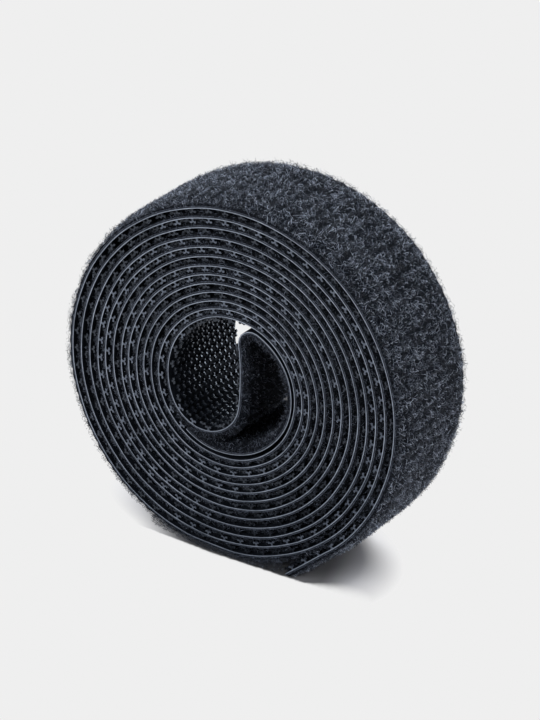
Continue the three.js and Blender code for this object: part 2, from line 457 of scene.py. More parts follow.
class Surface(Nodes):
    """A material in the making: its shader, and the nodes that colour, polish and dent it."""

    def __init__(self, name, base, roughness, **sockets):
        self.material = bpy.data.materials.new(name)
        self.material.use_nodes = True
        super().__init__(self.material.node_tree)
        self.shader = self.tree.nodes["Principled BSDF"]
        for label, value in {"Base Color": (*base, 1), "Roughness": roughness, **sockets}.items():
            self.shader.inputs[label.replace("_", " ")].default_value = value
        self.place = self.add("ShaderNodeTexCoord")["Object"]

    def noise(self, scale, detail, roughness=0.5):
        """Soft noise over the surface, between 0 and 1."""
        inputs = {"Vector": self.place, "Scale": scale, "Detail": detail, "Roughness": roughness}
        return self.add("ShaderNodeTexNoise", inputs)["Fac"]

    def mark(self, name):
        """What the mesh keeps under a name."""
        return self.add("ShaderNodeAttribute", attribute_name=name)["Fac"]

    def link(self, output, label):
        self.tree.links.new(output, self.shader.inputs[label])

    def colour(self, value, *stops):
        """Base colour by a value, between (place, colour) stops."""
        ramp = self.tree.nodes.new("ShaderNodeValToRGB")
        self.tree.links.new(value, ramp.inputs["Fac"])
        elements = ramp.color_ramp.elements
        while len(elements) < len(stops):
            elements.new(0.5)
        for element, (place, colour) in zip(elements, stops):
            element.position = place
            element.color = (*colour, 1)
        self.link(ramp.outputs["Color"], "Base Color")

    def gloss(self, value, low, high):
        """Roughness by a value."""
        self.link(self.mapped(value, *GLOSS_BETWEEN, low, high), "Roughness")

    def dent(self, height, strength, distance):
        """Bump by a height."""
        inputs = {"Height": height, "Strength": strength, "Distance": distance}
        self.link(self.add("ShaderNodeBump", inputs)["Normal"], "Normal")


def film_material():
    film = Surface(
        "black_film", (0.005, 0.0058, 0.0076), roughness=0.7, Specular_IOR_Level=0.06, Specular_Tint=COOL_SHINE,
    )
    clouds = film.noise(scale=900, detail=4, roughness=0.6)
    film.colour(clouds, (0.3, (0.003, 0.0036, 0.0048)), (0.7, (0.008, 0.0092, 0.012)))
    film.gloss(clouds, low=0.6, high=0.8)
    film.dent(clouds, strength=0.25, distance=0.00003)
    return film.material


def slit_edge_material():
    edge = Surface("slit_edge", (0.2, 0.225, 0.265), roughness=0.5)
    streaks = edge.noise(scale=1500, detail=3, roughness=0.6)
    stains = edge.noise(scale=170, detail=2)
    mixed = edge.blend(streaks, STREAK_SHARE, edge.times(stains, STAIN_SHARE))
    edge.colour(mixed, (0.32, (0.13, 0.148, 0.175)), (0.5, (0.26, 0.287, 0.33)), (0.68, (0.4, 0.435, 0.49)))
    edge.dent(streaks, strength=0.3, distance=0.00004)
    return edge.material


def hook_material():
    """Glossy black hooks, greyer where the slitting knife has cut them at the tape's edges, with a painted highlight
    that makes their tips paler.
    """
    hook = Surface(
        "moulded_hooks", (0.01, 0.0115, 0.015), roughness=0.25, Specular_IOR_Level=0.6, Specular_Tint=COOL_SHINE,
    )
    clouds = hook.noise(scale=1300, detail=2)
    # Greyer where cut, and paler towards the tips as a painted highlight
    cut_grey_and_tip_highlight = hook.larger(hook.times(hook.mark("cut"), CUT_PALED), hook.times(hook.mark("tip"), PAINTED_TIP_HIGHLIGHT))
    hook.colour(
        hook.blend(clouds, CLOUD_SHARE, cut_grey_and_tip_highlight),
        (0.12, (0.005, 0.006, 0.008)), (0.34, (0.016, 0.0185, 0.024)),
        (0.8, (0.04, 0.0455, 0.0565)), (1.0, (0.11, 0.123, 0.147)),
    )
    hook.gloss(clouds, low=0.18, high=0.34)
    return hook.material


def bond_material():
    bond = Surface("bond", (0.02, 0.023, 0.029), roughness=0.5)
    clouds = bond.noise(scale=1100, detail=3)
    bond.colour(clouds, (0.3, (0.01, 0.0115, 0.015)), (0.7, (0.04, 0.045, 0.056)))
    return bond.material


def ground_material():
    ground = Surface("knitted_ground", (0.008, 0.0092, 0.012), roughness=0.9, Specular_IOR_Level=0.15)
    stitches = ground.add("ShaderNodeTexVoronoi", {"Vector": ground.place, "Scale": 3200})["Distance"]
    ground.colour(stitches, (0.0, (0.02, 0.0228, 0.03)), (0.6, (0.004, 0.0046, 0.006)))
    ground.dent(stitches, strength=0.6, distance=0.00006)
    return ground.material


def cut_fabric_material():
    """Greyer ends of the knitted threads where the fabric is slit."""
    cut = Surface("cut_fabric", (0.05, 0.056, 0.07), roughness=0.9, Specular_IOR_Level=0.15)
    threads = cut.noise(scale=2300, detail=3, roughness=0.7)
    cut.colour(
        threads, (0.36, (0.014, 0.016, 0.0205)), (0.52, (0.075, 0.085, 0.106)), (0.7, (0.2, 0.224, 0.274)),
    )
    cut.dent(threads, strength=0.7, distance=0.0001)
    return cut.material


def nap_material():
    nap = Surface("matted_nap", (0.008, 0.0092, 0.012), roughness=0.95, Specular_IOR_Level=0.1)
    tufts = nap.noise(scale=2600, detail=4, roughness=0.7)
    nap.colour(
        tufts, (0.35, (0.003, 0.0035, 0.0046)), (0.55, (0.008, 0.0092, 0.0125)), (0.72, (0.03, 0.0345, 0.046)),
    )
    nap.dent(tufts, strength=0.8, distance=0.00015)
    return nap.material


def fibre_material():
    """Fibres that differ in shade at random from one to the next, from nearly black to pale. The pale ones are a
    painted highlight, for fibres that catch the light.
    """
    fibre = Surface("pile_fibre", (0.1, 0.113, 0.145), roughness=0.5, Specular_IOR_Level=0.3)
    patches = fibre.noise(scale=420, detail=2)
    fibre.colour(
        fibre.blend(fibre.mark("shade"), FIBRE_SHARE, fibre.times(patches, PATCH_SHARE)),
        (0.12, (0.007, 0.008, 0.0105)), (0.56, (0.033, 0.0375, 0.0475)),
        (0.78, (0.25, 0.28, 0.345)), (0.93, (0.78, 0.84, 0.95)),
    )
    return fibre.material


FILM = film_material()
SLIT_EDGE = slit_edge_material()
HOOKS = hook_material()
BOND = bond_material()
GROUND = ground_material()
CUT_FABRIC = cut_fabric_material()
NAP = nap_material()
FIBRE = fibre_material()


# The strip's layers. The bond and the ground end a little inside the film's slit edges

STRIP_LENGTHS = stations(0, TAPE.total, STRIP_STEP)
FILM_CHAMFER, BOND_CHAMFER, GROUND_CHAMFER = 0.00005, 0.00001, 0.00005
BOND_INSET, GROUND_INSET = 0.00004, 0.00006
PALE_EDGES = [1, 0, 0, 0, 1, 0, 0, 0]


def make_layer(name, offset_low, offset_high, inset, chamfer, materials, ring_materials=None):
    """One layer with its corners taken off. Its slit edges are the first and the fifth side of its section."""
    half = HALF_WIDTH - inset
    section = [
        (-half, offset_high - chamfer), (-half, offset_low + chamfer),
        (-half + chamfer, offset_low), (half - chamfer, offset_low),
        (half, offset_low + chamfer), (half, offset_high - chamfer),
        (half - chamfer, offset_high), (-half + chamfer, offset_high),
    ]
    return loft(name, section_points(STRIP_LENGTHS, section), materials, ring_materials)


# The brushed pile

NAP_RISE = 0.00023
NAP_TUFTS = ((0.0016, 0.00004), (0.0008, 0.00009), (0.005, 0.00003))
TUFT_APART = 1e4
RIB_PITCH = 0.00205
RIB_RISE = 0.00006
OUTSIDE_CROWN = (0.00055, 0.003)
HOLLOW_CROWN = (0.00055, 0.0007)
NAP_INSET = 0.00015
NAP_SUNK = 0.00006
NAP_LEAST = 0.00002
NAP_SETBACK = 0.0002
FREED_OVER = 0.005
BARE_NAP, FULL_NAP = 0.00014, 0.00027
PACKED_FROM = 0.1
PACKED_HALF_WIDTH = 0.0076
PACKED_CLEAR = 0.00005


def nap_height(length, across):
    """Height of the matted nap over the fabric's ground: ribs across the tape, tufts and pits."""
    height = NAP_RISE + RIB_RISE * math.cos(TURN * length / RIB_PITCH)
    for wave, size in NAP_TUFTS:
        height += size * noise.noise(Vector((length / wave, across / wave, wave * TUFT_APART)))
    return max(NAP_LEAST, height)


def smooth_step(value):
    """A value from 0 to 1 that eases in and out."""
    value = np.clip(value, 0, 1)
    return value * value * (3 - 2 * value)


def freed(lengths, free_from, free_until):
    """How far the pile is freed along the strip: fully between two places, not at all beyond them."""
    return smooth_step((lengths - free_from) / FREED_OVER) * smooth_step((free_until - lengths) / FREED_OVER)


def make_nap(name, start, end, free_from, free_until, crown):
    """Matted nap as a closed skin, and its upper side, which the fibres grow on. Where nothing presses it, it stands
    higher, most of all midway across the tape. The crown is its rise and the width of its shoulders."""
    lengths = stations(start, end, NAP_STEP)
    half = HALF_WIDTH - NAP_INSET
    across = np.linspace(-half, half, round(2 * half / NAP_STEP) + 1)
    heights = np.array([[nap_height(s, y) for y in across] for s in lengths])
    crown_rise, shoulder = crown
    dome = smooth_step((half - np.abs(across)) / shoulder)
    rise = heights + crown_rise * np.outer(freed(lengths, free_from, free_until), dome)
    upper = np.stack([np.broadcast_to(across, rise.shape), GROUND_BACK - rise], axis=-1)
    first, last = (
        np.broadcast_to((side, GROUND_BACK + NAP_SUNK), (len(lengths), 1, 2)) for side in (across[0], across[-1])
    )
    rings = section_points(lengths, np.concatenate([last, first, upper], axis=1))
    cover = np.clip((heights - BARE_NAP) / (FULL_NAP - BARE_NAP), 0, 1)
    return loft(name, rings, [NAP]), rings[:, 2:], cover


def make_packed_nap():
    """Nap between the turns, held down by the turn outside it. It lets no light through the roll."""
    lengths = stations(TAPE.at_angle(TURN + TAIL_LEAVES + PACKED_FROM), TAPE.ends["turns"], STRIP_STEP)
    angles = np.interp(lengths, TAPE.turned_lengths, TAPE.turned)
    lengths_outside = np.interp(angles - TURN, TAPE.turned, TAPE.turned_lengths)
    radii, radii_outside = (
        np.hypot(x, z - AXIS_HEIGHT) for x, z, *_ in (TAPE.at(lengths), TAPE.at(lengths_outside))
    )
    room = np.maximum(radii_outside - radii - (HOOK_FACE - GROUND_BACK) - PACKED_CLEAR, NAP_LEAST)
    low, high = GROUND_BACK - room, np.full(len(room), GROUND_BACK + NAP_SUNK)
    half = PACKED_HALF_WIDTH
    corners = [section_column(*corner) for corner in ((-half, high), (-half, low), (half, low), (half, high))]
    return loft("packed_nap", section_points(lengths, np.stack(corners, axis=1)), [NAP])


# Fibres: their sizes vary between two (span, breadth, height) shares, and noise bends each in its own way
FIBRE_STEPS = 6
FIBRE_SIDES = 3
FIBRE_SIZES = ((0.55, 0.55, 0.4), (1.5, 1.5, 1.6))
FIBRE_SIZE_SEED, FIBRE_SHADE_SEED = 7.0, 13.0
FIBRE_WAVES = 1700.0
FIBRE_WAVES_APART = 40.0
FIBRE_FLOOR = 0.00006
FIBRE_TIP, FIBRE_BELLY = 0.3, 2.8


def fibre_tree():
    """Curly fibres on a skin: low loops of some span and height, bent by noise and kept above the floor."""
    nodes, given = new_tree("curly_fibres", {
        "Density": "Float", "Span": "Float", "Height": "Float", "Radius": "Float", "Tilt": "Float",
        "Curl": "Float", "Points": "Int", "Palest": "Float", "Seed": "Int", "Material": "Material",
    })
    seed, tilt = given["Seed"], given["Tilt"]
    density = nodes.times(given["Density"], nodes.attribute("cover"))
    seeded = nodes.add("GeometryNodeDistributePointsOnFaces", {
        "Mesh": given["Geometry"], "Density": density, "Seed": seed,
    })
    half_span = nodes.times(given["Span"], 0.5)
    loop = nodes.add("GeometryNodeCurveQuadraticBezier", {
        "Resolution": FIBRE_STEPS, "Start": nodes.vector(X=nodes.times(half_span, -1.0)),
        "Middle": nodes.vector(Z=nodes.times(given["Height"], 2.0)), "End": nodes.vector(X=half_span),
    })[0]
    tilt_back = nodes.times(tilt, -1.0)
    turn = nodes.random(nodes.vector(X=tilt_back, Y=tilt_back, Z=0.0), nodes.vector(X=tilt, Y=tilt, Z=TURN), seed)
    facing = nodes.turned(seeded["Rotation"], turn)
    sizes = nodes.random(*FIBRE_SIZES, nodes.plus(seed, FIBRE_SIZE_SEED))
    strands = nodes.placed(seeded["Points"], loop, Rotation=facing, Scale=sizes)
    # Each fibre's shade is random up to Palest, and the palest fibres are a painted highlight
    chance = nodes.add("FunctionNodeRandomValue", {
        2: 0.0, 3: given["Palest"], "Seed": nodes.plus(seed, FIBRE_SHADE_SEED),
    }, data_type="FLOAT")[1]
    strands = nodes.realized(nodes.marked(strands, "shade", chance, domain="INSTANCE"))
    strands = nodes.add("GeometryNodeResampleCurve", {"Curve": strands, "Count": given["Points"]}, mode="COUNT")[0]
    waves = nodes.add("ShaderNodeTexNoise", {
        "W": nodes.times(nodes.attribute("shade"), FIBRE_WAVES_APART), "Scale": FIBRE_WAVES, "Detail": 0.0,
    }, noise_dimensions="4D")["Color"]
    bent = nodes.scaled(nodes.vectors("SUBTRACT", waves, (NOISE_MIDDLE,) * 3), given["Curl"])
    strands = nodes.moved(strands, Offset=bent)
    place = nodes.parts(nodes.add("GeometryNodeInputPosition")[0])
    lifted = nodes.vector(X=place["X"], Y=place["Y"], Z=nodes.larger(place["Z"], FIBRE_FLOOR))
    strands = nodes.moved(strands, Position=lifted)
    along = nodes.add("GeometryNodeSplineParameter")["Factor"]
    arch = nodes.times(nodes.minus(1.0, along), nodes.times(along, FIBRE_BELLY))
    taper = nodes.plus(arch, FIBRE_TIP)
    strands = nodes.add("GeometryNodeSetCurveRadius", {"Curve": strands, "Radius": taper})[0]
    profile = nodes.add("GeometryNodeCurvePrimitiveCircle", {
        "Resolution": FIBRE_SIDES, "Radius": given["Radius"],
    })[0]
    tubes = nodes.add("GeometryNodeCurveToMesh", {
        "Curve": strands, "Profile Curve": profile, "Scale": taper, "Fill Caps": True,
    })[0]
    return end_tree(nodes, tubes, given["Material"])


FIBRES = fibre_tree()


# The moulded hooks

COLUMN_PITCH = 0.00152
ROW_PITCH = 0.00152
HOOK_HEIGHT = 0.00074
HOOK_BREADTH = 0.00034
HOOK_ROOT = 0.00004
HOOK_NOTCH = 0.0005
HOOK_SIDE = (
    (0.0003, -HOOK_ROOT), (0.00017, 0.00012), (0.00013, 0.00027), (0.0003, 0.00042), (0.00052, 0.00038),
    (0.00062, 0.00046), (0.0006, 0.00059), (0.0005, 0.0007), (0.00037, HOOK_HEIGHT), (0.0002, 0.00066),
)
TIPS_FROM = 0.00055
TIPS_NARROWED = 0.75
HOOK_LEAN = (0.04, 0.06, 0.05)
HOOK_SIZES = ((0.9, 0.9, 0.94), (1.08, 1.06, 1.03))
HOOK_SIZE_SEED = 5.0
CUT_REACH = 0.0001


def hook_shape():
    """One two-pronged hook: a waisted stem on a wide root, and two arms that part and droop at their tips."""
    outline = [*HOOK_SIDE, (0.0, HOOK_NOTCH)] + [(-x, z) for x, z in reversed(HOOK_SIDE)]
    count = len(outline)
    points = [
        (x, side * HOOK_BREADTH / 2 * (1 if z < TIPS_FROM else TIPS_NARROWED), z)
        for side in (-1, 1) for x, z in outline
    ]
    faces = [tuple(range(count)), tuple(reversed(range(count, 2 * count)))]
    for k in range(count):
        following = (k + 1) % count
        faces.append((k, count + k, count + following, following))
    hook = mesh_object("hook_pattern", points, faces)
    rims = [(edge.vertices[0] < count) == (edge.vertices[1] < count) for edge in hook.data.edges]
    hook.data.attributes.new("sharp_edge", "BOOLEAN", "EDGE").data.foreach_set("value", rims)
    # The tip mark grows up the arms, and the hook material paints a highlight with it
    mark_points(hook.data, "tip", [np.interp(z, (TIPS_FROM, HOOK_HEIGHT), (0, 1)) for _, _, z in points])
    return hook


def hook_tree():
    """Hooks in staggered rows along a line, on the side that faces the roll's axis, all across or near the edges."""
    nodes, given = new_tree("hook_rows", {
        "Hook": "Object", "Column Pitch": "Float", "Row Pitch": "Float", "Half Width": "Float", "Edge Band": "Float",
        "Cut Reach": "Float", "Side": "Float", "Drift": "Float", "Drift Length": "Float", "Seed": "Int",
        "Material": "Material",
    })
    column_pitch, row_pitch, half_width = (given[label] for label in ("Column Pitch", "Row Pitch", "Half Width"))

    # A grid of points: columns along the line, and rows across the tape
    line = nodes.add("GeometryNodeMeshToCurve", {"Mesh": given["Geometry"]})[0]
    columns = nodes.add("GeometryNodeCurveToPoints", {"Curve": line, "Length": column_pitch}, mode="LENGTH")
    aimed = nodes.marked(columns["Points"], "along", columns["Tangent"], "FLOAT_VECTOR")
    numbered = nodes.marked(aimed, "column", nodes.add("GeometryNodeInputIndex")[0])
    rows = nodes.times(2.0, nodes.calculate("CEIL", nodes.over(half_width, row_pitch)))
    first = nodes.times(nodes.times(rows, row_pitch), -0.5)
    row = nodes.add("GeometryNodeMeshLine", {
        "Count": nodes.plus(rows, 1.0), "Start Location": nodes.vector(Y=first), "Offset": nodes.vector(Y=row_pitch),
    }, mode="OFFSET")[0]
    grid = nodes.realized(nodes.placed(numbered, row))

    # Every second column is staggered, and all drift slowly across the tape
    column = nodes.attribute("column")
    stagger = nodes.times(nodes.calculate("MODULO", column, 2.0), nodes.times(row_pitch, 0.5))
    run = nodes.over(nodes.times(column, column_pitch), given["Drift Length"])
    drift = nodes.times(nodes.calculate("SINE", nodes.times(run, TURN)), given["Drift"])
    shift = nodes.calculate("FLOORED_MODULO", nodes.plus(stagger, drift), row_pitch)
    grid = nodes.moved(grid, Offset=nodes.vector(Y=shift))

    # Points off the tape, buried between the turns or on the other side are left out
    place = nodes.parts(nodes.add("GeometryNodeInputPosition")[0])
    aside = nodes.calculate("ABSOLUTE", place["Y"])
    cut_off = nodes.calculate("GREATER_THAN", aside, nodes.plus(half_width, given["Cut Reach"]))
    buried = nodes.calculate("LESS_THAN", aside, nodes.minus(half_width, given["Edge Band"]))
    other_side = nodes.calculate("LESS_THAN", nodes.times(place["Y"], given["Side"]), 0.0)
    left_out = nodes.plus(nodes.plus(cut_off, buried), other_side)
    grid = nodes.add("GeometryNodeDeleteGeometry", {"Geometry": grid, "Selection": left_out}, domain="POINT")[0]

    # The points follow the strip's skew and sway
    towards_back = nodes.over(place["Y"], nodes.times(half_width, 2.0))
    skew = nodes.scaled(nodes.attribute("skew", "FLOAT_VECTOR"), towards_back)
    sway = nodes.attribute("sway")
    grid = nodes.moved(grid, Offset=nodes.vectors("ADD", skew, nodes.vector(Y=sway)))

    # A hook on each point, upright on the film
    along = nodes.attribute("along", "FLOAT_VECTOR")
    axes = {"Primary Axis": nodes.vectors("CROSS_PRODUCT", along, (0.0, 1.0, 0.0)), "Secondary Axis": along}
    upright = nodes.add("FunctionNodeAxesToRotation", axes, primary_axis="Z", secondary_axis="X")[0]
    lean = nodes.random(tuple(-angle for angle in HOOK_LEAN), HOOK_LEAN, given["Seed"])
    sizes = nodes.random(*HOOK_SIZES, nodes.plus(given["Seed"], HOOK_SIZE_SEED))
    pattern = nodes.add("GeometryNodeObjectInfo", {"Object": given["Hook"]}, transform_space="ORIGINAL")["Geometry"]
    hooks = nodes.realized(nodes.placed(grid, pattern, Rotation=nodes.turned(upright, lean), Scale=sizes))

    # What stands out past a slit edge is cut flush with it
    across = nodes.minus(place["Y"], sway)
    cut = nodes.calculate("GREATER_THAN", nodes.calculate("ABSOLUTE", across), half_width)
    hooks = nodes.marked(hooks, "cut", cut)
    within = nodes.calculate("MINIMUM", nodes.larger(across, nodes.times(half_width, -1.0)), half_width)
    flush = nodes.vector(X=place["X"], Y=nodes.plus(sway, within), Z=place["Z"])
    return end_tree(nodes, nodes.moved(hooks, Position=flush), given["Material"])


HOOK_ROWS = hook_tree()
HOOK_PATTERN = hook_shape()


def hook_line(start, end):
    """The line on the film's hook side that a stretch of hooks stands on, midway across the tape."""
    lengths = stations(start, end, STRIP_STEP)
    points = section_points(lengths, [(0.0, HOOK_FACE)])[:, 0]
    points[:, 1] = 0
    mesh = bpy.data.meshes.new("hook_line")
    mesh.from_pydata([tuple(p) for p in points], [(k, k + 1) for k in range(len(points) - 1)], [])
    skew_x, skew_z = TAPE.skew(lengths)
    skew = np.stack([skew_x, np.zeros(len(lengths)), skew_z], axis=-1)
    mesh.attributes.new("skew", "FLOAT_VECTOR", "POINT").data.foreach_set("vector", skew.ravel())
    mark_points(mesh, "sway", TAPE.at(lengths)[3])
    return linked("hook_line", mesh)


def make_hooks(name, start, end, band, side, drift, drift_length, seed):
    """Hooks along a stretch of the strip, in a band at its edges, on one side of the tape or on both."""
    return grown(
        name, hook_line(start, end), HOOK_ROWS, HOOKS, Hook=HOOK_PATTERN, Column_Pitch=COLUMN_PITCH,
        Row_Pitch=ROW_PITCH, Half_Width=HALF_WIDTH, Edge_Band=band, Cut_Reach=CUT_REACH, Side=side, Drift=drift,
        Drift_Length=drift_length, Seed=seed,
    )


# The pieces


def dress(piece, node):
    """Lets a piece ride on the one body and stand for a node of the solids."""
    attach(piece, "root")
    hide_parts(node)


film = make_layer("film_strip", FILM_BACK, HOOK_FACE, 0, FILM_CHAMFER, [FILM, SLIT_EDGE], PALE_EDGES)
dress(film, "hook_film")
bond = make_layer("bond_strip", BOND_BACK, FILM_BACK, BOND_INSET, BOND_CHAMFER, [BOND])
dress(bond, "bond_layer")
ground = make_layer(
    "fabric_ground", GROUND_BACK, BOND_BACK, GROUND_INSET, GROUND_CHAMFER, [GROUND, CUT_FABRIC], PALE_EDGES,
)
dress(ground, "loop_fabric")

# Hooks under the tail, at both slit edges of the turns and all over the lining of the core
TAIL_HOOKS_START = 0.0004
TURN_HOOKS_START = TAPE.ends["tail"] + 0.004
TUCKED_START = TAPE.at_angle(FREE_END) - 0.001
LINING_START = TAPE.at_angle(TAPE.bend_angle) + 0.0038
LINING_END = TAPE.ends["bend"] - 0.0058
EDGE_BAND = 0.0017
SLIT_DRIFT, SLIT_DRIFT_LENGTH = 0.00025, 0.39
LINING_DRIFT, LINING_DRIFT_LENGTH = 0.00187, 0.2
BOTH_SIDES, FRONT_SIDE, BACK_SIDE = 0.0, -1.0, 1.0
tail_run = (TAIL_HOOKS_START, TURN_HOOKS_START)
turns_run = (TURN_HOOKS_START + COLUMN_PITCH, TUCKED_START)
for name, run, band, side, drift, drift_length, seed in (
    ("tail_hooks", tail_run, HALF_WIDTH, BOTH_SIDES, 0.0, SLIT_DRIFT_LENGTH, 11),
    ("front_edge_hooks", turns_run, EDGE_BAND, FRONT_SIDE, SLIT_DRIFT, SLIT_DRIFT_LENGTH, 12),
    ("back_edge_hooks", turns_run, EDGE_BAND, BACK_SIDE, SLIT_DRIFT, SLIT_DRIFT_LENGTH, 12),
    ("lining_hooks", (LINING_START, LINING_END), HALF_WIDTH, BOTH_SIDES, LINING_DRIFT, LINING_DRIFT_LENGTH, 13),
):
    dress(make_hooks(name, *run, band, side, drift, drift_length, seed), "hook_film")
pattern_mesh = HOOK_PATTERN.data
bpy.data.objects.remove(HOOK_PATTERN)
bpy.data.meshes.remove(pattern_mesh)

# The pile, as curly loops and stray hairs on the nap
# Palest caps the fibres' painted highlight. The lower caps for the fuzz between the turns, the pressed pile and the
# pile in the core darken the fibres there as painted shade
CURLS = dict(Span=0.00042, Height=0.0004, Radius=0.000029, Tilt=0.8, Curl=0.0009, Points=3, Palest=1.0)
HAIRS = dict(Span=0.0012, Height=0.00036, Radius=0.000029, Tilt=0.7, Curl=0.0009, Points=4, Palest=1.0)
EDGE_CURLS = dict(Span=0.0006, Height=0.00014, Radius=0.000025, Tilt=0.7, Curl=0.0009, Points=3, Palest=0.83)
CURL_DENSITY = 1.75e7
HAIR_DENSITY = 3.8e6
HOLLOW_DENSITY = 1e7
HOLLOW_HIGHLIGHT_CAP = 0.9
OUTSIDE_PATCHES = 6
OUTSIDE_END = TAPE.at_angle(TURN + TAIL_LEAVES)
OUTSIDE_FREE = (-FREED_OVER, OUTSIDE_END)
HOLLOW_START = TAPE.ends["loop"] - 0.008
HOLLOW_FREE = (TAPE.ends["loop"] - 0.002, TAPE.total + FREED_OVER)
pile_pieces = []


def grow_pile(name, top, cover, density, look, seed):
    """A pile of fibres on a grid of points."""
    skin = patch(name + "_skin", top, cover)
    pile_pieces.append(grown(name, skin, FIBRES, FIBRE, Density=density, Seed=seed, **look))


outside_nap, outside_top, outside_cover = make_nap(
    "outside_nap", NAP_SETBACK, OUTSIDE_END, *OUTSIDE_FREE, OUTSIDE_CROWN,
)
pile_pieces.append(outside_nap)
cuts = np.linspace(0, len(outside_top) - 1, OUTSIDE_PATCHES + 1).round().astype(int)
for k in range(OUTSIDE_PATCHES):
    rows = slice(cuts[k], cuts[k + 1] + 1)
    grow_pile(f"outside_pile_{k + 1}", outside_top[rows], outside_cover[rows], CURL_DENSITY, CURLS, seed=21 + k)
grow_pile("outside_hairs", outside_top, outside_cover, HAIR_DENSITY, HAIRS, seed=28)

hollow_nap, hollow_top, hollow_cover = make_nap(
    "hollow_nap", HOLLOW_START, TAPE.total - NAP_SETBACK, *HOLLOW_FREE, HOLLOW_CROWN,
)
pile_pieces.append(hollow_nap)
grow_pile("hollow_pile", hollow_top, hollow_cover, HOLLOW_DENSITY, CURLS | {"Palest": HOLLOW_HIGHLIGHT_CAP}, seed=31)
pile_pieces.append(make_packed_nap())

# Fuzz on a slanting strip behind each slit edge, in clumps, higher where the pile is free
EDGE_DENSITY = 2.8e7
EDGE_INSET = 0.00008
EDGE_SLANT = 0.0004
EDGE_RISE = 0.0006
FREE_EDGE_RISE = 0.0011
EDGE_DEPTHS = (0, 0.5, 1)
EDGE_COVER = (1.0, 0.9, 0.45)
EDGE_CLUMP = 0.0021
CLUMP_MEAN, CLUMP_SWING, CLUMP_LAYER = 0.55, 0.9, 0.5


def grow_fuzz(name, side, start, end, density, seed):
    """Fuzz along one slit edge, at the front (-1) or at the back (1)."""
    lengths = stations(start, end, STRIP_STEP)
    free = np.maximum(freed(lengths, *OUTSIDE_FREE), freed(lengths, *HOLLOW_FREE))
    rise = EDGE_RISE + (FREE_EDGE_RISE - EDGE_RISE) * free
    edge = [
        section_column(side * (HALF_WIDTH - EDGE_INSET - EDGE_SLANT * depth), GROUND_BACK - rise * depth)
        for depth in EDGE_DEPTHS
    ]
    strip = section_points(lengths, np.stack(edge, axis=1))
    clumps = [
        CLUMP_MEAN + CLUMP_SWING * noise.noise(Vector((length / EDGE_CLUMP, side, CLUMP_LAYER))) for length in lengths
    ]
    cover = np.clip(np.outer(clumps, EDGE_COVER), 0, 1)
    if side > 0:
        strip, cover = strip[:, ::-1], cover[:, ::-1]
    grow_pile(name, strip, cover, density, EDGE_CURLS, seed)


grow_fuzz("front_fuzz_outer", -1, 0.0, TAPE.total / 2, EDGE_DENSITY, seed=41)
grow_fuzz("front_fuzz_inner", -1, TAPE.total / 2, TAPE.total, EDGE_DENSITY, seed=42)
grow_fuzz("back_fuzz", 1, 0.0, TAPE.total, EDGE_DENSITY / 2, seed=43)

# Where the roll's weight presses it, the pile spreads out on the floor in front of its edge
SPREAD_FROM, SPREAD_UNTIL = TAPE.at_angle(TURN - 0.42), TAPE.at_angle(TURN + 0.46)
SPREAD_REACH = 0.0012
SPREAD_SINKS_TO = 0.2
SPREAD_DENSITY = 4e7
lengths = stations(SPREAD_FROM, SPREAD_UNTIL, STRIP_STEP)
brink = section_points(lengths, [(EDGE_INSET - HALF_WIDTH, GROUND_BACK)])[:, 0]
swell = np.sin(np.linspace(0, math.pi, len(lengths))) ** 0.5
foot = brink * (1, 1, SPREAD_SINKS_TO) - np.outer(swell, (0, SPREAD_REACH, 0))
spread = np.stack([brink, (brink + foot) / 2, foot], axis=1)
grow_pile("pressed_pile", spread, np.ones((len(lengths), 3)), SPREAD_DENSITY, EDGE_CURLS, seed=51)

for piece in pile_pieces:
    dress(piece, "loop_fabric")


# Floor. A shade is an oval by its middle, its reaches and the share of them that it starts at

FLOOR_SIZE = 6.0
PALE = (0.863, 0.863, 0.863)
FLOOR_TINT = (1.0, 0.95, 0.925)
LEFT_SHADE = (0.0026, -0.0012, 0.0275, 0.0128, 0.5)
RIGHT_SHADE = (0.0026, -0.004, 0.0258, 0.0195, 0.56)
SHADES_MEET = (-0.004, 0.004)
SHADE_ENDS_AT = 1.03
SHADE_FRONT = -0.0117
SHADE_SLANT = 0.105
SHADE_SOFTNESS = 0.0003
SHADE_FRAYS_FROM = 0.0165
SHADE_FRAYS = 0.8
SHADE_RAGGED = 0.0005
# Painted shade on the floor's colour: where the roll touches it, between the contact reaches, and beside the tail,
# between the tail shade reaches. The depths say how dark it is painted
CONTACT_LEFT, CONTACT_RIGHT, CONTACT_FRONT = (-0.015, -0.003), (0.024, 0.013), (-0.006, -0.008)
PAINTED_CONTACT_SHADE = 0.85
TAIL_SLANT = 0.35
TAIL_SHADE_LEFT, TAIL_SHADE_RIGHT = (0.004, 0.012), (0.0225, 0.0155)
PAINTED_TAIL_SHADE = 0.76


